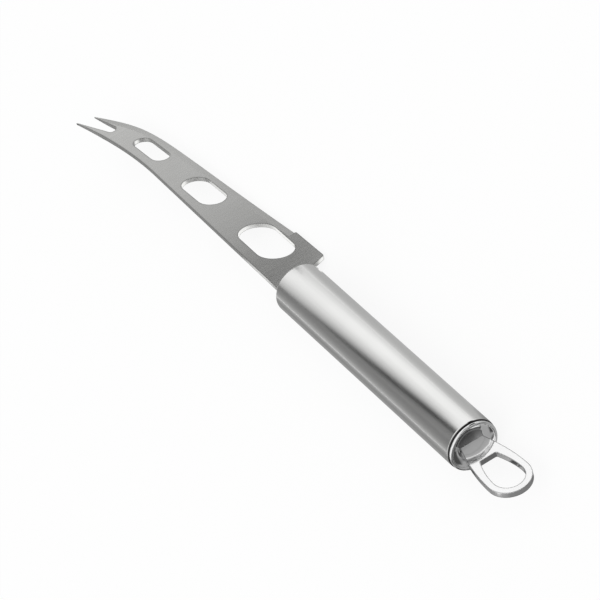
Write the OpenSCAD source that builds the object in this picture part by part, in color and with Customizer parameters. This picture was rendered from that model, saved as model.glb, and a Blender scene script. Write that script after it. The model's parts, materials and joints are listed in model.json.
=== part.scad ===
// Cheese knife with a round hollow handle and a hanging loop, all in stainless steel.
// Lying as it comes to rest on a table, on its handle and on the heel of its blade:
// +X runs from the butt to the fork, +Y points to the spine's side, +Z up, resting on Z = 0.

/* [Handle] */
// Outside diameter of the handle tube
handle_d = 18; // [15:0.5:24]
// Length of the handle tube
handle_l = 101; // [70:1:140]
// Wall of the handle tube
tube_wall = 0.8; // [0.6:0.1:1.4]
// Rounding of the tube's front edge
front_round = 0.5; // [0.2:0.1:0.5]
// Rounding of the tube's rear edge
rear_round = 0.7; // [0.3:0.1:0.7]

/* [Blade] */
// Reach of the blade from the handle to the longer prong
blade_l = 133; // [115:1:160]
// Thickness of the blade's sheet
blade_t = 1.7; // [1.2:0.1:2.5]
// Spine's height over the handle's axis at the neck, which is also half of the neck's width
spine_h = 5.8; // [4:0.2:6]
// How far the spine comes down to the axis by the end of its straight run
spine_fall = 0.95; // [0:0.05:1.5]
// Depth of the heel under the handle's axis
heel_drop = 14.4; // [12.4:0.2:20]
// Distance from the handle to the lowest point of the heel
heel_gap = 6.8; // [5:0.2:12]
// Lean of the heel's rear edge towards the handle
heel_lean = 2.5; // [0:0.5:3]
// Rise of the cutting side from the heel to the place where grinding ends
choil_rise = 0.4; // [0.2:0.1:1.5]
// Distance from the handle to the place where grinding ends
choil_x = 23.4; // [18:0.2:26]
// Step left in the outline where grinding ends
choil_step = 0.3; // [0.2:0.1:1.2]
// Width of the ground bevel
bevel_w = 2.6; // [0.8:0.1:3]
// Thickness left at the cutting edge
edge_t = 0.3; // [0.1:0.1:0.6]
// Length of the tang inside the handle
tang_l = 22; // [10:1:40]

/* [Fork] */
// Height of the spine-side prong's point over the handle's axis
spine_tip_h = 11.1; // [9:0.1:14]
// Height of the edge-side prong's point over the handle's axis
edge_tip_h = 4.5; // [2:0.1:6]
// How much shorter the edge-side prong is
prong_back = 2.2; // [0:0.1:4]
// Depth of the notch from the longer prong's point to its round bottom
notch_l = 15.8; // [12:0.2:20]
// Height of the middle of the notch's bottom over the handle's axis
notch_h = 3.6; // [2.5:0.1:5]
// Radius at the bottom of the notch
notch_r = 1.7; // [1:0.1:2]
// Length over which the prongs are ground thinner
point_run = 14; // [8:0.5:20]
// Thickness left at the prongs' points
point_t = 0.7; // [0.5:0.1:1.2]

/* [Blade holes] */
// Length of the hole next to the handle
hole_a_l = 22.6; // [18:0.2:26]
// Width of the hole next to the handle
hole_a_w = 11.9; // [9:0.1:13]
// Distance from the handle to the middle of that hole
hole_a_x = 27; // [24:0.5:30]
// Length of the middle hole
hole_b_l = 18.8; // [15:0.2:22]
// Width of the middle hole
hole_b_w = 9; // [6:0.1:9.5]
// Place of the middle hole between the other two
hole_b_share = 0.535; // [0.48:0.005:0.58]
// Length of the hole next to the fork
hole_c_l = 16.8; // [12:0.1:19]
// Width of the hole next to the fork
hole_c_w = 6.1; // [4:0.1:6.5]
// Distance from the end of that hole to the bottom of the notch
hole_c_gap = 10.5; // [6:0.1:13]
// Depth of the middle of the hole next to the handle under the handle's axis
hole_a_drop = 4.3; // [3:0.1:5]
// Depth of the middle of the middle hole under the handle's axis
hole_b_drop = 2.6; // [1:0.1:3]
// Depth of the middle of the hole next to the fork under the handle's axis
hole_c_drop = 1; // [0:0.05:1.5]
// Tilt of the middle hole, which follows the sweep of the blade
hole_b_tilt = 2; // [0:0.5:4]
// Tilt of the hole next to the fork
hole_c_tilt = 3.5; // [0:0.5:6]
// Lean of the holes' ends along the blade, as a share of the way across it
slot_lean_share = 0.34; // [0:0.02:0.4]

/* [Hanging loop] */
// Reach of the loop past the end of the handle
loop_l = 27.2; // [24:0.2:36]
// Width of the loop
loop_w = 15; // [13:0.2:16]
// Thickness of the loop's sheet
loop_t = 2; // [1.4:0.1:3]
// Width of the tongue where it leaves the end cup
tongue_w = 8.6; // [7:0.2:10]
// Length of the tongue past the end cup's rim, inside the handle
tongue_l = 9; // [6:0.5:20]
// Width of the metal round the far end of the eye
loop_rim = 2.25; // [1.6:0.05:3]
// Distance from the handle to the straight side of the eye
eye_gap = 8.6; // [6:0.2:10]
// Width of the straight side of the eye
eye_flat_w = 6.1; // [4:0.1:8]
// Radius of the two corners at the ends of the straight side
eye_corner_r = 0.7; // [0.3:0.1:1]

/* [Front plug] */
// Thickness of the plug that holds the blade
plug_t = 5; // [3:0.5:10]
// How far the plug sits behind the front edge of the tube
plug_back = 0.6; // [0.2:0.1:2]
// Chamfer round the plug's front face
plug_chamfer = 0.4; // [0.1:0.1:0.8]
// Room left round the tang and the tongue in their slots
slot_clear = 0.1; // [0:0.05:0.2]

/* [End cup] */
// Width of the polished bead that lies on the tube's rear edge
bead_w = 1.1; // [0.6:0.1:1.2]
// How far the bead stays inside the outside of the tube
bead_inset = 0.2; // [0.1:0.05:0.4]
// Depth of the dish's flat floor under the top of the bead
dish_depth = 1.4; // [1:0.1:4]
// Share of the dish that its flat floor takes
floor_share = 0.68; // [0.4:0.02:0.8]
// Thickness of the cup's sheet
cup_wall = 0.8; // [0.5:0.1:1.2]
// Length of the cup's skirt inside the tube
skirt_l = 9; // [7:0.5:14]

/* [Hidden] */

// Segments of a full circle, of a curve and of a rounded corner
circle_steps = 96;
curve_steps = 40;
corner_steps = 8;
// How far a cut runs past the face it opens
overrun = 1;
// Places of the two handles of each curve, along and across the stretch it spans
belly_shares = [[0.788, 0.449], [0.766, 0.201]];
sweep_shares = [[0.33, -0.04], [0.68, 0.36]];
wall_shares = [[0.35, 0], [0.75, 0.4]];
flare_shares = [[0.23, 0.38], [0.56, 1]];
// Where the spine leaves its straight run, along the blade
spine_run_share = 0.65;
// Blunting of the prongs' points, of the heel and of the neck, as shares of the blade's sheet
tip_r = blade_t * 0.06;
heel_r = blade_t * 0.4;
neck_r = blade_t * 0.6;
// Half of the run of the step at the end of the grinding
choil_run = choil_step * 0.6;
// Points at the start of the eye's side that its rounded corner takes the place of
corner_skip = 4;
// Points of a curve passed over where the dish's wall takes fewer of them
wall_skip = 4;

handle_r = handle_d / 2;
bore_r = handle_r - tube_wall;
bead_r = bead_w / 2;
bead_mid = [handle_r - bead_inset - bead_r, -bead_r];
dish_r = bead_mid.x - bead_r;
floor_r = dish_r * floor_share;
floor_y = dish_depth - bead_w;
loop_r = loop_w / 2;
eye_r = loop_r - loop_rim;
eye_x = loop_l - loop_r;
choil_drop = heel_drop - choil_rise;
hole_c_x = blade_l - notch_l - hole_c_gap - hole_c_l / 2;
hole_b_x = hole_a_x + hole_b_share * (hole_c_x - hole_a_x);

function unit(v) = v / norm(v);

// Point of a cubic curve at share t of its run
function cubic(p, t) =
    p[0] * pow(1 - t, 3) + 3 * p[1] * t * pow(1 - t, 2) + 3 * p[2] * t * t * (1 - t) + p[3] * pow(t, 3);

// Curve from one point to another, with its two handles given as shares of the box between them
function curve(from, to, shares) =
    let (
        span = to - from,
        p = [
            from,
            from + [span.x * shares[0].x, span.y * shares[0].y],
            from + [span.x * shares[1].x, span.y * shares[1].y],
            to
        ]
    )
    [for (i = [0:curve_steps]) cubic(p, i / curve_steps)];

// Arc of radius r that rounds the corner at b on the way from a to c
function corner(a, b, c, r) =
    let (
        u = unit(a - b),
        v = unit(c - b),
        half = acos(u * v) / 2,
        centre = b + unit(u + v) * r / sin(half),
        start = b + u * r / tan(half) - centre,
        turn = (180 - 2 * half) * sign(u.y * v.x - u.x * v.y)
    )
    [
        for (i = [0:corner_steps])
            let (a = turn * i / corner_steps)
            centre + [start.x * cos(a) - start.y * sin(a), start.x * sin(a) + start.y * cos(a)]
    ];

// Arc about a centre from one angle to another
function arc(centre, r, from, to, steps = corner_steps) =
    [
        for (i = [0:steps])
            let (a = from + (to - from) * i / steps)
            centre + r * [cos(a), sin(a)]
    ];

function mirrored(points) = [for (i = [len(points) - 1:-1:0]) [points[i].x, -points[i].y]];
function reversed(points) = [for (i = [len(points) - 1:-1:0]) points[i]];

// Cutting edge from the end of the grinding to the edge-side point
belly_start = [choil_x + choil_run, choil_step - choil_drop];
edge_tip = [blade_l - prong_back, edge_tip_h];
belly = curve(belly_start, edge_tip, belly_shares);

// Spine from its straight run to the spine-side point
spine_tip = [blade_l, spine_tip_h];
spine_bend = [blade_l * spine_run_share, spine_h - spine_fall];
sweep = curve(spine_bend, spine_tip, sweep_shares);

// Notch between the points, and the angle at which the line from a point touches its round bottom
notch_mid = [blade_l - notch_l + notch_r, notch_h];
function touch_angle(tip, side) =
    let (away = tip - notch_mid)
    atan2(away.y, away.x) + side * acos(notch_r / norm(away));
notch = arc(notch_mid, notch_r, touch_angle(edge_tip, -1), touch_angle(spine_tip, 1) - 360, 2 * corner_steps);

// Shoulder between the neck and the heel
shoulder = [heel_gap - heel_lean, -spine_h];
heel = [heel_gap, -heel_drop];

blade_outline = concat(
    [[-tang_l, -spine_h]],
    corner([-tang_l, -spine_h], shoulder, heel, neck_r),
    corner(shoulder, heel, [choil_x - choil_run, -choil_drop], heel_r),
    [[choil_x - choil_run, -choil_drop]],
    [for (i = [0:curve_steps - 1]) belly[i]],
    corner(belly[curve_steps - 1], edge_tip, notch[0], tip_r),
    notch,
    corner(notch[len(notch) - 1], spine_tip, sweep[curve_steps - 1], tip_r),
    [for (i = [curve_steps - 1:-1:0]) sweep[i]],
    [[0, spine_h], [-tang_l, spine_h]]
);

// Roll about the handle's axis at which the heel meets the table that the handle lies on
outline_x = [for (p = blade_outline) p.x];
outline_y = [for (p = blade_outline) p.y];
heel_reach = norm([min(outline_y), blade_t / 2]);
rest_roll = asin(handle_r / heel_reach) - atan(-blade_t / 2 / min(outline_y));

// Middle of the box round the whole knife as it lies, seen from the front edge of the handle tube
across_max = max(handle_r, max(outline_y) * cos(rest_roll) + blade_t / 2 * sin(rest_roll));
across_min = min(-handle_r, min(outline_y) * cos(rest_roll) - blade_t / 2 * sin(rest_roll));
mid_x = (max(outline_x) - handle_l - loop_l) / 2;
mid_y = (across_max + across_min) / 2;

// Slope of the ground face, and how far the cutter rises past the faces it opens
bevel_slope = (blade_t - edge_t) / 2 / bevel_w;
cut_up = overrun * bevel_slope;

// Direction along the belly at each of its points
function belly_way(i) = unit(belly[min(i + 1, curve_steps)] - belly[max(i - 1, 0)]);

// Points that the cutter passes through: the belly, carried on past the edge-side point
cut_path = concat(
    [for (i = [0:curve_steps]) [belly[i], belly_way(i)]],
    [[edge_tip + overrun * belly_way(curve_steps), belly_way(curve_steps)]]
);

// Each section of the cutter has its inner, outer low and outer high corner
function cut_section(place, way) =
    let (inward = [-way.y, way.x])
    [
        concat(place + inward * (bevel_w + overrun), blade_t / 2 + cut_up),
        concat(place - inward * overrun, edge_t / 2 - cut_up),
        concat(place - inward * overrun, blade_t / 2 + cut_up)
    ];

// Wedge that grinds the upper side of the cutting edge
module bevel_cutter() {
    rings = len(cut_path);
    points = [for (p = cut_path) for (q = cut_section(p[0], p[1])) q];
    sides = [
        for (i = [0:rings - 2])
            for (k = [0:2])
                let (a = 3 * i + k, b = 3 * i + (k + 1) % 3)
                each [[a, b, b + 3], [a, b + 3, a + 3]]
    ];
    last = 3 * (rings - 1);
    polyhedron(points, concat(sides, [[2, 1, 0], [last, last + 1, last + 2]]));
}

// Block whose tilted face thins the upper side of the prongs
module point_cutter() {
    slope = atan((blade_t - point_t) / 2 / point_run);
    translate([blade_l - point_run, -heel_drop, blade_t / 2]) rotate([0, slope, 0])
        cube([point_run + overrun, heel_drop + spine_tip_h + overrun, blade_t]);
}

// Prism with round ends that lean along it, used for the holes in the blade
module leaned_slot(l, w, h) {
    run = (l - w) / 2;
    slot_outline = [
        for (side = [1, -1], i = [0:curve_steps])
            let (a = -90 + 180 * i / curve_steps, y = side * w / 2 * sin(a))
            [side * (run + w / 2 * cos(a)) + slot_lean_share * y, y]
    ];
    linear_extrude(h, center = true) polygon(slot_outline);
}

// Places a piece that is drawn from the front edge of the tube, on the handle's axis, blade level
module in_place() {
    translate([-mid_x, -mid_y, handle_r]) rotate([rest_roll, 0, 0]) children();
}

// Places a piece that is drawn from the rear edge of the tube, with +X pointing out of it
module at_butt() {
    in_place() translate([-handle_l, 0, 0]) mirror([1, 0, 0]) children();
}

// Stamped and ground blade with its neck and tang
module blade() {
    cut_h = blade_t + 2 * overrun;
    color("silver") in_place() difference() {
        linear_extrude(blade_t, center = true) polygon(blade_outline);
        bevel_cutter();
        mirror([0, 0, 1]) bevel_cutter();
        point_cutter();
        mirror([0, 0, 1]) point_cutter();
        translate([hole_a_x, -hole_a_drop, 0]) leaned_slot(hole_a_l, hole_a_w, cut_h);
        translate([hole_b_x, -hole_b_drop, 0])
            rotate([0, 0, hole_b_tilt]) leaned_slot(hole_b_l, hole_b_w, cut_h);
        translate([hole_c_x, -hole_c_drop, 0])
            rotate([0, 0, hole_c_tilt]) leaned_slot(hole_c_l, hole_c_w, cut_h);
    }
}

// Disc that closes the front of the tube and holds the tang
module front_plug() {
    color("lightgray") in_place() difference() {
        translate([-plug_back - plug_t, 0, 0]) rotate([0, 90, 0]) union() {
            cylinder(r = bore_r, h = plug_t - plug_chamfer, $fn = circle_steps);
            translate([0, 0, plug_t - plug_chamfer])
                cylinder(r1 = bore_r, r2 = bore_r - plug_chamfer, h = plug_chamfer, $fn = circle_steps);
        }
        translate([-plug_back - plug_t / 2, 0, 0])
            cube([plug_t + 2 * overrun, 2 * (spine_h + slot_clear), blade_t + 2 * slot_clear], center = true);
    }
}

// Half section of the tube's wall, radius across and length up
tube_profile = concat(
    [[bore_r, 0]],
    arc([handle_r - rear_round, rear_round], rear_round, -90, 0),
    arc([handle_r - front_round, handle_l - front_round], front_round, 0, 90),
    [[bore_r, handle_l]]
);

// Brushed handle tube
module handle_tube() {
    color("gainsboro") in_place() translate([-handle_l, 0, 0])
        rotate([0, 90, 0]) rotate_extrude($fn = circle_steps) polygon(tube_profile);
}

// Half section of the dish's wall, from its flat floor up to the bead
wall_line = curve([floor_r, floor_y], [dish_r, bead_mid.y], wall_shares);

// Half section of the cup, radius across and depth into the tube up
cup_profile = concat(
    [[0, floor_y]],
    [for (i = [0:wall_skip:curve_steps - wall_skip]) wall_line[i]],
    arc(bead_mid, bead_r, 180, 450, 2 * corner_steps),
    [[bore_r, 0], [bore_r, skirt_l], [bore_r - cup_wall, skirt_l]],
    [[bore_r - cup_wall, floor_y + cup_wall], [0, floor_y + cup_wall]]
);

// Drawn and polished cup that closes the butt, with a slot for the loop's tongue
module end_cup() {
    color("whitesmoke") at_butt() difference() {
        rotate([0, -90, 0]) rotate_extrude($fn = circle_steps) polygon(cup_profile);
        cube(
            [2 * (dish_depth + cup_wall), tongue_w + 2 * slot_clear, loop_t + 2 * slot_clear],
            center = true
        );
    }
}

// Side of the loop, from the tongue to the widest place
loop_side = curve([0, tongue_w / 2], [eye_x, loop_r], flare_shares);
loop_outline = concat(
    [[-tongue_l, -tongue_w / 2]],
    [for (i = [0:curve_steps]) [loop_side[i].x, -loop_side[i].y]],
    reversed(loop_side),
    [[-tongue_l, tongue_w / 2]]
);

// Side of the eye, from its straight edge to its round end
eye_side = curve([eye_gap, eye_flat_w / 2], [eye_x, eye_r], flare_shares);
eye_corner = corner([eye_gap, 0], [eye_gap, eye_flat_w / 2], eye_side[corner_skip], eye_corner_r);
eye_half = concat(eye_corner, [for (i = [corner_skip:curve_steps]) eye_side[i]]);
eye_outline = concat(eye_half, mirrored(eye_half));

// Stamped and polished loop with its eye and tongue
module hanging_loop() {
    color("whitesmoke") at_butt() difference() {
        union() {
            linear_extrude(loop_t, center = true) polygon(loop_outline);
            translate([eye_x, 0, 0]) cylinder(r = loop_r, h = loop_t, center = true, $fn = circle_steps);
        }
        linear_extrude(loop_t + 2 * overrun, center = true) polygon(eye_outline);
        translate([eye_x, 0, 0])
            cylinder(r = eye_r, h = loop_t + 2 * overrun, center = true, $fn = circle_steps);
    }
}

blade();
front_plug();
handle_tube();
end_cup();
hanging_loop();
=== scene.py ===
import json
import math

import bpy
from mathutils import Matrix, Vector


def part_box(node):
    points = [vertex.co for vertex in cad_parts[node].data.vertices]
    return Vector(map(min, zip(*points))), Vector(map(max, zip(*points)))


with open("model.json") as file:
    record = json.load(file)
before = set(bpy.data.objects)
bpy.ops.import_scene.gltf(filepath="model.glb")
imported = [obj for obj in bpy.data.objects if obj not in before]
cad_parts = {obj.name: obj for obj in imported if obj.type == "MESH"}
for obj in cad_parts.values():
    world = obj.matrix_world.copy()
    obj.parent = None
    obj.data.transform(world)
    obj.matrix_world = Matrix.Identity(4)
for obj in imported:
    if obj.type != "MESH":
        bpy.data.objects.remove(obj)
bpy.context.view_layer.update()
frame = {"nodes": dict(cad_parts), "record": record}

MM = 0.001

# The knife's own directions: along the handle to the fork, in the blade's plane to the spine,
# and out of the blade's flat
ALONG = Vector((1, 0, 0))
FLAT_NORMAL = Vector(frame["record"]["mounts"][0]["axis"]).normalized()
TO_SPINE = FLAT_NORMAL.cross(ALONG).normalized()

# The tube's front end on its axis, from which knife points are measured, and in millimetres
# its radius and where along the knife its butt end is
tube_low, tube_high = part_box("handle_tube")
TUBE_MIDDLE = (tube_low + tube_high) / 2
TUBE_FRONT = Vector((tube_high.x, TUBE_MIDDLE.y, TUBE_MIDDLE.z))
TUBE_RADIUS = (tube_high.z - tube_low.z) / 2 / MM
TUBE_END = (tube_low.x - tube_high.x) / MM


def knife_point(along, across, out):
    """A point given in millimetres from the tube's front end, in the knife's own directions."""
    return TUBE_FRONT + (ALONG * along + TO_SPINE * across + FLAT_NORMAL * out) * MM


# Camera: a long lens that looks down on the knife from behind its handle, turned on its side.
# Turns are in degrees, and distances in metres where the name doesn't say millimetres
CAMERA_TARGET = Vector((-13.79, 2.66, 17.31)) * MM
CAMERA_DISTANCE = 1.1304
CAMERA_AZIMUTH = -169.05
CAMERA_ELEVATION = 44.36
CAMERA_ROLL = -63.17
CLIP_START = 0.01
CLIP_END = 50
LENS_MM = 210
SENSOR_MM = 36


def make_camera():
    azimuth, elevation, roll = (math.radians(a) for a in (CAMERA_AZIMUTH, CAMERA_ELEVATION, CAMERA_ROLL))
    level_share = math.cos(elevation)
    back = Vector((level_share * math.cos(azimuth), level_share * math.sin(azimuth), math.sin(elevation)))
    level = Vector((0, 0, 1)).cross(back).normalized()
    right = (Matrix.Rotation(roll, 3, back) @ level).normalized()
    up = back.cross(right)
    data = bpy.data.cameras.new("camera")
    data.lens = LENS_MM
    data.sensor_width = SENSOR_MM
    data.clip_start = CLIP_START
    data.clip_end = CLIP_END
    camera = bpy.data.objects.new("camera", data)
    place = CAMERA_TARGET + back * CAMERA_DISTANCE
    camera.matrix_world = Matrix.Translation(place) @ Matrix((right, up, back)).transposed().to_4x4()
    bpy.context.scene.collection.objects.link(camera)
    bpy.context.scene.camera = camera


class Nodes:
    """A small helper that adds shader nodes to a tree and links them."""

    def __init__(self, tree):
        self.tree = tree
        tree.nodes.clear()

    def add(self, kind, inputs=None, **settings):
        """A new node. An input given as another node's socket is linked, and any other is set."""
        node = self.tree.nodes.new(kind)
        for name, value in settings.items():
            setattr(node, name, value)
        for name, value in (inputs or {}).items():
            if isinstance(value, bpy.types.NodeSocket):
                self.tree.links.new(value, node.inputs[name])
            else:
                node.inputs[name].default_value = value
        return node

    def math(self, operation, a, b=0.0):
        return self.add("ShaderNodeMath", {0: a, 1: b}, operation=operation).outputs[0]

    def mix(self, share, start, end):
        """The start where share is nought, the end where it is one, and some of both between."""
        kept = self.math("MULTIPLY", start, self.math("SUBTRACT", 1.0, share))
        return self.math("ADD", kept, self.math("MULTIPLY", share, end))

    def remap(self, value, low, high, new_low, new_high):
        """new_low up to where the value is low, new_high from where it is high, and even between."""
        inputs = {"Value": value, "From Min": low, "From Max": high, "To Min": new_low, "To Max": new_high}
        return self.add("ShaderNodeMapRange", inputs).outputs[0]

    def vector(self, operation, a, b):
        return self.add("ShaderNodeVectorMath", {0: a, 1: b}, operation=operation).outputs[0]

    def scale(self, a, factor):
        return self.add("ShaderNodeVectorMath", {0: a, "Scale": factor}, operation="SCALE").outputs[0]

    def dot(self, a, b):
        return self.add("ShaderNodeVectorMath", {0: a, 1: b}, operation="DOT_PRODUCT").outputs["Value"]

    def length(self, a):
        return self.add("ShaderNodeVectorMath", {0: a}, operation="LENGTH").outputs["Value"]

    def noise(self, place, detail, roughness=0.5, scale=1.0):
        inputs = {"Vector": place, "Scale": scale, "Detail": detail, "Roughness": roughness}
        return self.add("ShaderNodeTexNoise", inputs).outputs["Fac"]

    def bump(self, height, distance, strength, normal):
        inputs = {"Height": height, "Distance": distance, "Strength": strength, "Normal": normal}
        return self.add("ShaderNodeBump", inputs).outputs[0]

    def ramp(self, value, stops):
        """A tone that goes evenly from stop to stop, each a value and its tone."""
        low, high = stops[0][0], stops[-1][0]
        node = self.add("ShaderNodeValToRGB", {0: self.remap(value, low, high, 0.0, 1.0)})
        elements = node.color_ramp.elements
        while len(elements) < len(stops):
            elements.new(1.0)
        for element, (place, tone) in zip(elements, stops):
            element.position = (place - low) / (high - low)
            element.color = (tone, tone, tone, 1)
        return node.outputs[0]


def new_material(name):
    material = bpy.data.materials.new(name)
    material.use_nodes = True
    return material, Nodes(material.node_tree)


# What picks one of the three knife coordinates, or the two that say how far a point is from the axis
ALONG_ONLY = (1, 0, 0)
ACROSS_ONLY = (0, 1, 0)
OUT_ONLY = (0, 0, 1)
OFF_AXIS = (0, 1, 1)


def knife_coordinates(n):
    """The surface point in millimetres: along the handle, across to the spine and out of the flat."""
    place = n.add("ShaderNodeTexCoord").outputs["Object"]
    moved = n.vector("SUBTRACT", place, tuple(TUBE_FRONT))
    parts = [n.dot(moved, tuple(axis / MM)) for axis in (ALONG, TO_SPINE, FLAT_NORMAL)]
    return n.add("ShaderNodeCombineXYZ", dict(enumerate(parts))).outputs[0]


# Floor and light: a white floor and world, and a wide soft lamp that adds a faint shadow.
# The floor's size is in metres, and the lamp's spread and turns are in degrees
WHITE = (1, 1, 1, 1)
FLOOR_SIZE = 8
FLOOR_COLOR = (0.97, 0.97, 0.97, 1)
# How much of the floor's white is its own, so that the object's shadow stays faint
FLOOR_WHITENING = 0.86
# What the world and the lamp each give a surface, where one is white
WORLD_LIGHT = 0.85
LAMP_SHARE = 0.15
LAMP_SPREAD = 50
LAMP_TURNS = (-35, -20, 0)


def seen_directly(n):
    """One for rays from the camera, a reflection or a refraction, and nought for light on a surface."""
    path = n.add("ShaderNodeLightPath")
    seen = n.math("MAXIMUM", path.outputs["Is Camera Ray"], path.outputs["Is Glossy Ray"])
    return n.math("MAXIMUM", seen, path.outputs["Is Transmission Ray"])


def make_floor():
    bpy.ops.mesh.primitive_plane_add(size=FLOOR_SIZE, location=(0, 0, 0))
    floor = bpy.context.object
    floor.name = "floor"
    material, n = new_material("floor_white")
    diffuse = n.add("ShaderNodeBsdfDiffuse", {"Color": FLOOR_COLOR})
    white = n.add("ShaderNodeEmission", {"Color": WHITE, "Strength": 1.0})
    share = n.math("MULTIPLY", seen_directly(n), FLOOR_WHITENING)
    mix = n.add("ShaderNodeMixShader", {0: share, 1: diffuse.outputs[0], 2: white.outputs[0]})
    n.add("ShaderNodeOutputMaterial", {"Surface": mix.outputs[0]})
    floor.data.materials.append(material)


def make_lights():
    world = bpy.data.worlds.new("studio")
    bpy.context.scene.world = world
    world.use_nodes = True
    n = Nodes(world.node_tree)
    strength = n.remap(seen_directly(n), 0.0, 1.0, WORLD_LIGHT, 1.0)
    background = n.add("ShaderNodeBackground", {"Color": WHITE, "Strength": strength})
    n.add("ShaderNodeOutputWorld", {"Surface": background.outputs[0]})

    data = bpy.data.lights.new("key", "SUN")
    data.energy = LAMP_SHARE * math.pi
    data.angle = math.radians(LAMP_SPREAD)
    lamp = bpy.data.objects.new("key", data)
    lamp.rotation_euler = tuple(math.radians(turn) for turn in LAMP_TURNS)
    lamp.visible_glossy = False
    bpy.context.scene.collection.objects.link(lamp)


# Studio cards, which only reflections see. Each outline is a list of corners in millimetres, and each
# tone a list of stops: a place in millimetres and the brightness there, where one is white. They are
# in knife coordinates on every card but the table

# Overhead panel: dark up to a slanting edge, brightest beyond it, and dimmer further out
PANEL_HEIGHT = 200
PANEL_OUTLINE = [(70, -285), (1500, -285), (1500, 1500), (70, 1500)]
PANEL_EDGE_SLANT = (math.sqrt(0.5), -math.sqrt(0.5), 0)
PANEL_EDGE = [(-80, 0.25), (-50, 0.22), (-38, 0.20), (-31, 0.04), (-23, 0.0), (-14, 0.01), (-8, 0.09),
              (8, 0.40), (26, 0.60), (45, 0.74), (68, 0.88), (95, 0.97), (115, 1.0)]
PANEL_FALL_SLANT = (1, -0.3, 0)
PANEL_FALL = [(180, 1.0), (200, 0.97), (217, 0.9), (257, 0.84), (311, 0.79), (390, 0.73), (545, 0.63),
              (1700, 0.53)]

# Wall far beyond the spine, dimmer towards its top
WALL_ACROSS = 700
WALL_OUTLINE = [(200, -480), (2500, -480), (2500, 199), (200, 199)]
WALL_TONE = [(-400, 0.45), (-190, 0.3), (50, 0.22)]

# Wall behind the butt, dimmer towards its top
BACK_ALONG = -250
BACK_OUTLINE = [(-600, 5), (60, 5), (60, 450), (-600, 450)]
BACK_TONE = [(5, 0.5), (110, 0.42), (190, 0.22), (250, 0.12), (450, 0.09)]

# Two low cards: a shade over the blade, clear of what the tube reflects, that brightens towards the
# fork and far out on the cutting edge's side, and a dark hood beside the butt
LOW_CARD_HEIGHT = 60
SHADE_OUTLINE = [(57, 12), (57, -30), (72, -52), (92, -76), (125, -108), (200, -165), (300, -230),
                 (300, 12)]
SHADE_TONE = [(57, 0.05), (72, 0.2), (90, 0.5), (110, 0.76), (150, 0.84), (190, 0.94), (210, 1.0),
              (300, 1.15)]
SHADE_LIFT = [(-100, 0.15), (-60, 0.0)]
HOOD_OUTLINE = [(-150, -48), (-77, -48), (-77, -20), (-150, -20)]
HOOD_TONE = [(-150, 0.14), (-120, 0.03)]

# Table, in the frame's own x and y: its tone across, darker near the knife where it is painted shadow, and
# a pool of painted shadow behind the butt with a tone of its own along, which shows where both of the
# pool's fades are nought
TABLE_HEIGHT = 0.05
TABLE_OUTLINE = [(-170, -300), (400, -300), (400, 840), (-100, 840), (-100, 88), (-170, 88)]
TABLE_GREY_AND_SHADOW = [(-300, 0.75), (-80, 0.62), (-33, 0.5), (0, 0.45), (12, 0.4), (35, 0.27), (80, 0.35),
              (200, 0.42), (300, 0.45)]
PAINTED_SHADOW_ALONG = [(-190, 1.0), (-165, 0.0), (-95, 0.0), (-84, 1.0)]
PAINTED_SHADOW_ACROSS = [(-30, 1.0), (-15, 0.0), (30, 0.0), (45, 1.0)]
PAINTED_SHADOW_TONE = [(-165, 0.25), (-130, 0.2), (-122, 0.13), (-117, 0.13), (-113, 0.38), (-104, 0.42),
             (-97, 0.23), (-84, 0.22)]

# Patches of the table that the sheared sides of the blade and the loop pick up, the bright ones glowing as
# bounce light and the two dark ones by the butt as painted shadow: two ends along, two ends across, and the
# tone, which fades in over a short way inside the ends
TABLE_PATCHES = [
    (27, 46, 17, 35, 1.1),
    (2.4, 5.4, -11.2, -7.5, 1.35),
    (22, 44, -6, 17.5, 1.35),
    (63, 78, -4, 9, 1.35),
    (86, 102, -4, 11, 1.35),
    # Painted shadow under the butt
    (-128, -94, 12, 20, 0.07),
    (-111, -95, 2, 12, 0.07),
]
PATCH_FADE = 1.0


def fade(direction, stops):
    """A card's tone that follows the stops in one direction of the knife coordinates."""
    def tone(n):
        return n.ramp(n.dot(knife_coordinates(n), direction), stops)
    return tone


def panel_tone(n):
    place = knife_coordinates(n)
    edge = n.ramp(n.dot(place, PANEL_EDGE_SLANT), PANEL_EDGE)
    return n.math("MINIMUM", edge, n.ramp(n.dot(place, PANEL_FALL_SLANT), PANEL_FALL))


def shade_tone(n):
    place = knife_coordinates(n)
    lift = n.ramp(n.dot(place, ACROSS_ONLY), SHADE_LIFT)
    return n.math("ADD", n.ramp(n.dot(place, ALONG_ONLY), SHADE_TONE), lift)


def depth_inside(n, value, low, high):
    """How far inside its two ends the value lies, and below nought outside them."""
    return n.math("MINIMUM", n.math("SUBTRACT", value, low), n.math("SUBTRACT", high, value))


def table_tone(n):
    place = n.add("ShaderNodeTexCoord").outputs["Object"]
    along = n.dot(place, (1 / MM, 0, 0))
    across = n.dot(place, (0, 1 / MM, 0))
    # Painted shadow: the pool behind the butt, and the darker band across the table near the knife
    off_painted_shadow = n.math("MAXIMUM", n.ramp(along, PAINTED_SHADOW_ALONG), n.ramp(across, PAINTED_SHADOW_ACROSS))
    tone = n.mix(off_painted_shadow, n.ramp(along, PAINTED_SHADOW_TONE), n.ramp(across, TABLE_GREY_AND_SHADOW))
    for x_low, x_high, y_low, y_high, patch_tone in TABLE_PATCHES:
        depth_x = depth_inside(n, along, x_low, x_high)
        depth_y = depth_inside(n, across, y_low, y_high)
        share = n.remap(n.math("MINIMUM", depth_x, depth_y), 0.0, PATCH_FADE, 0.0, 1.0)
        tone = n.mix(share, tone, patch_tone)
    return tone


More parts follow.
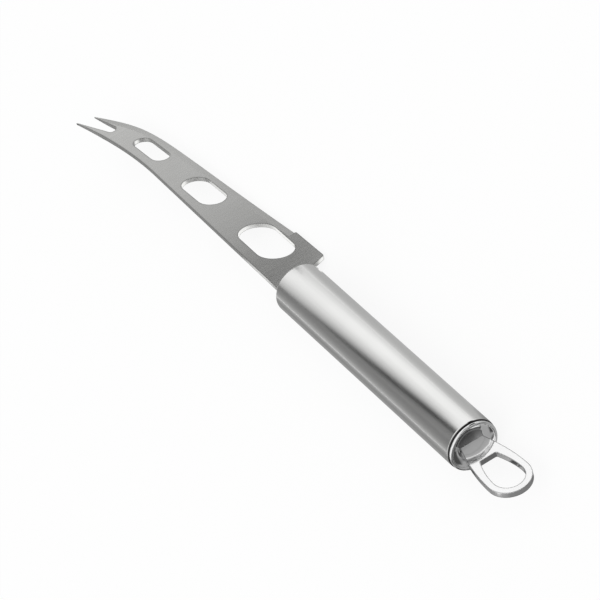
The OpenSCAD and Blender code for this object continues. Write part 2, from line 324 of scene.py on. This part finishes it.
def card(name, corners, tone):
    """A studio card. Its brightness is worked out by tone, from the place on it."""
    mesh = bpy.data.meshes.new(name)
    mesh.from_pydata(corners, [], [tuple(range(len(corners)))])
    board = bpy.data.objects.new(name, mesh)
    bpy.context.scene.collection.objects.link(board)
    material, n = new_material(name)
    light = n.add("ShaderNodeEmission", {"Color": WHITE, "Strength": tone(n)})
    n.add("ShaderNodeOutputMaterial", {"Surface": light.outputs[0]})
    mesh.materials.append(material)
    board.visible_camera = False
    board.visible_diffuse = False
    board.visible_shadow = False


def make_cards():
    card("hood", [knife_point(x, y, LOW_CARD_HEIGHT) for x, y in HOOD_OUTLINE], fade(ALONG_ONLY, HOOD_TONE))
    card("back", [knife_point(BACK_ALONG, y, z) for y, z in BACK_OUTLINE], fade(OUT_ONLY, BACK_TONE))
    card("shade", [knife_point(x, y, LOW_CARD_HEIGHT) for x, y in SHADE_OUTLINE], shade_tone)
    card("panel", [knife_point(x, y, PANEL_HEIGHT) for x, y in PANEL_OUTLINE], panel_tone)
    card("wall", [knife_point(x, WALL_ACROSS, z) for x, z in WALL_OUTLINE], fade(OUT_ONLY, WALL_TONE))
    card("table", [Vector((x, y, TABLE_HEIGHT)) * MM for x, y in TABLE_OUTLINE], table_tone)


# Steel: what all the finishes share

# The range that noise mostly keeps to
NOISE_RANGE = (0.3, 0.7)
# How much of the marks' tone the fine ones give, and how many coarse ones there are for each of them
FINE_SHARE = 0.6
COARSE_GRAIN = 0.2
# How finely the noise of each is broken up, and how strongly the fine marks bump the surface
FINE_DETAIL = 4.0
FINE_ROUGHNESS = 0.6
COARSE_DETAIL = 2.0
GRAIN_STRENGTH = 0.5
# Large soft clouds in the tone: how many a millimetre holds, and how much they change it
CLOUD_GRAIN = 0.05
CLOUD_SWING = 0.02
# How much the marks change the roughness, as a share of it, and how much rougher an edge is
ROUGHNESS_SWING = 0.1
EDGE_ROUGHNESS = 0.08
# How far rounding turns the surface where an edge begins to show, and where it shows fully
EDGE_TURN = (0.005, 0.1)
BEVEL_SAMPLES = 6
# A surface's facing is nought on a sheet's sides and one on its flat faces. Between each pair one
# thing gives way: the sides' painted highlight, the painted shade of the dark rims, and the painted edge
# tone of faces that aren't flat
SIDE_FACING = (0.2, 0.5)
RIM_FACING = (0.5, 0.9)
FLAT_FACING = (0.97, 0.99)
# How much painted shade darkens a sheet's side along its two edges
RIM_PAINTED_SHADE = 0.9
# The seam's tone from its middle outwards, and how far under the tube's surface it is gone and full
SEAM_TONE = [(0.0, 0.03), (0.3, 0.08), (0.55, 1.0)]
SEAM_GONE = 1.0
SEAM_FULL = 0.7


def face_normal(n):
    return n.add("ShaderNodeNewGeometry").outputs["Normal"]


def rounded_normal(n, radius_mm):
    return n.add("ShaderNodeBevel", {"Radius": radius_mm * MM}, samples=BEVEL_SAMPLES).outputs[0]


def edge_mask(n, radius_mm):
    """One at an edge, and nought on the faces beside it."""
    turned = n.math("SUBTRACT", 1.0, n.dot(rounded_normal(n, radius_mm), face_normal(n)))
    return n.remap(turned, *EDGE_TURN, 0.0, 1.0)


def seam_shade(n, place, radius, joint):
    """Dark in a narrow ring round the tube's outside, and one everywhere else."""
    off = n.math("ABSOLUTE", n.math("SUBTRACT", n.dot(place, ALONG_ONLY), joint))
    under = n.remap(radius, TUBE_RADIUS - SEAM_GONE, TUBE_RADIUS - SEAM_FULL, 1.0, 0.0)
    return n.math("MAXIMUM", n.ramp(off, SEAM_TONE), under)


def dish_rise(n, radius, dish_reach, hollow_radius):
    """How high a slightly hollow face stands above its middle, in millimetres, out to its reach."""
    reach = n.math("MINIMUM", radius, dish_reach)
    return n.math("DIVIDE", n.math("MULTIPLY", reach, reach), 2 * hollow_radius)


# The edge tones' defaults paint a faint highlight along every edge
def steel(name, color, roughness, grain, grain_depth, streak=0.06, anisotropy=0.0, round_mm=0.3,
          edge_mm=0.3, flat_edge_painted_light=0.1, side_edge_painted_light=0.1, side_painted_highlight=0.0, painted_rim_mm=0.0, dish=None, joint=None):
    """Steel with a grain, which says how many marks a millimetre holds along, across and out.

    All lengths are in millimetres. grain_depth is how deep the marks are, and streak how much they
    change the tone. round_mm is how far edges look rounded. edge_mm is how wide the painted tone at an
    edge reaches: flat_edge_painted_light adds it on flat faces and side_edge_painted_light on all others,
    as a painted highlight above nought and as painted shade, dark outlines, below it.
    side_painted_highlight paints a highlight on the sheared sides of a sheet, and painted_rim_mm is how
    wide their dark edges of painted shade are. dish is the radius out to which the face is slightly hollow,
    and the radius of that hollow. joint is where along the handle a dark seam runs round it.
    """
    material, n = new_material(name)
    place = knife_coordinates(n)
    radius = n.length(n.vector("MULTIPLY", place, OFF_AXIS))
    facing = n.math("ABSOLUTE", n.dot(face_normal(n), tuple(FLAT_NORMAL)))
    edge = edge_mask(n, edge_mm)
    coarse_grain = tuple(marks * COARSE_GRAIN for marks in grain)
    fine = n.noise(n.vector("MULTIPLY", place, grain), FINE_DETAIL, FINE_ROUGHNESS)
    coarse = n.noise(n.vector("MULTIPLY", place, coarse_grain), COARSE_DETAIL)
    cloud = n.noise(place, COARSE_DETAIL, scale=CLOUD_GRAIN)

    mottle = n.math("ADD", n.math("MULTIPLY", fine, FINE_SHARE), n.math("MULTIPLY", coarse, 1 - FINE_SHARE))
    clouding = n.remap(cloud, *NOISE_RANGE, 1 - CLOUD_SWING, 1 + CLOUD_SWING)
    shade = n.math("MULTIPLY", n.remap(mottle, *NOISE_RANGE, 1 - streak, 1 + streak), clouding)
    # Painted light at the edges: a highlight where the edge tone is above nought and dark outlines of
    # painted shade where it is below, and a painted highlight on a sheet's sheared sides
    lift = n.math("MULTIPLY", edge, n.remap(facing, *FLAT_FACING, side_edge_painted_light, flat_edge_painted_light))
    shade = n.math("ADD", shade, n.math("ADD", lift, n.remap(facing, *SIDE_FACING, side_painted_highlight, 0.0)))
    # Painted shade: dark lines along both edges of a sheet's sheared sides
    if painted_rim_mm:
        painted_rim_shade = n.math("MULTIPLY", edge_mask(n, painted_rim_mm), n.remap(facing, *RIM_FACING, RIM_PAINTED_SHADE, 0.0))
        shade = n.math("SUBTRACT", shade, painted_rim_shade)
    if joint is not None:
        shade = n.math("MULTIPLY", shade, seam_shade(n, place, radius, joint))

    smoothest = roughness * (1 - ROUGHNESS_SWING)
    roughest = roughness * (1 + ROUGHNESS_SWING)
    worn = n.math("MULTIPLY", edge, EDGE_ROUGHNESS)
    matt = n.math("ADD", n.remap(fine, *NOISE_RANGE, smoothest, roughest), worn)

    normal = n.bump(fine, grain_depth * MM, GRAIN_STRENGTH, rounded_normal(n, round_mm))
    if dish:
        normal = n.bump(dish_rise(n, radius, *dish), MM, 1.0, normal)

    inputs = {"Base Color": n.scale(color, shade), "Metallic": 1.0, "Roughness": matt, "Normal": normal,
              "Anisotropic": anisotropy}
    if anisotropy:
        inputs["Tangent"] = n.add("ShaderNodeTangent", direction_type="RADIAL", axis="X").outputs[0]
    shader = n.add("ShaderNodeBsdfPrincipled", inputs)
    n.add("ShaderNodeOutputMaterial", {"Surface": shader.outputs[0]})
    return material


# Each piece's own steel. A grain is how many marks a millimetre holds along, across and out
LENGTHWAYS_GRAIN = (0.05, 4.0, 4.0)
CROSSWAYS_GRAIN = (4.0, 0.1, 1.0)
EVEN_GRAIN = (2.0, 2.0, 2.0)


def blade_steel():
    """Grey satin ground across the blade, with painted highlights on its sheared sides and thin dark
    outlines of painted shade.
    """
    return steel("blade_steel", (0.5, 0.5, 0.49), 0.27, CROSSWAYS_GRAIN, 0.01, round_mm=0.1, edge_mm=0.8,
                 flat_edge_painted_light=-0.45, side_edge_painted_light=0.0, side_painted_highlight=0.35, painted_rim_mm=0.5)


def plug_steel():
    """Dull and even, with a faint painted highlight along its edges."""
    return steel("plug_steel", (0.6, 0.6, 0.6), 0.4, EVEN_GRAIN, 0.01)


def handle_steel():
    """Bright and brushed lengthways, with a dark seam where the cup begins."""
    return steel("handle_steel", (0.85, 0.85, 0.84), 0.15, LENGTHWAYS_GRAIN, 0.004, streak=0.03,
                 anisotropy=0.4, round_mm=0.12, flat_edge_painted_light=0.0, side_edge_painted_light=0.0, joint=TUBE_END)


def cup_steel():
    """Polished, with a slightly hollow floor, the other side of that seam, and a faint painted highlight
    along its edges.
    """
    return steel("cup_steel", (0.85, 0.85, 0.85), 0.08, EVEN_GRAIN, 0.001, streak=0.02, dish=(5.3, 26),
                 joint=TUBE_END)


def loop_steel():
    """Polished, with thin dark outlines of painted shade on its flat faces and painted shade along the
    edges of its sides.
    """
    return steel("loop_steel", (0.93, 0.93, 0.93), 0.08, EVEN_GRAIN, 0.001, streak=0.02, edge_mm=0.6,
                 flat_edge_painted_light=-0.8, side_edge_painted_light=-0.3)


def dress(node, material):
    """Gives a CAD node this material in place of the plain one that it comes with."""
    mesh = frame["nodes"][node].data
    mesh.materials.clear()
    mesh.materials.append(material)


def dress_knife():
    dress("blade", blade_steel())
    dress("front_plug", plug_steel())
    dress("handle_tube", handle_steel())
    dress("end_cup", cup_steel())
    dress("hanging_loop", loop_steel())


make_camera()
make_floor()
make_lights()
make_cards()
dress_knife()

bpy.context.scene.view_settings.view_transform = "Standard"
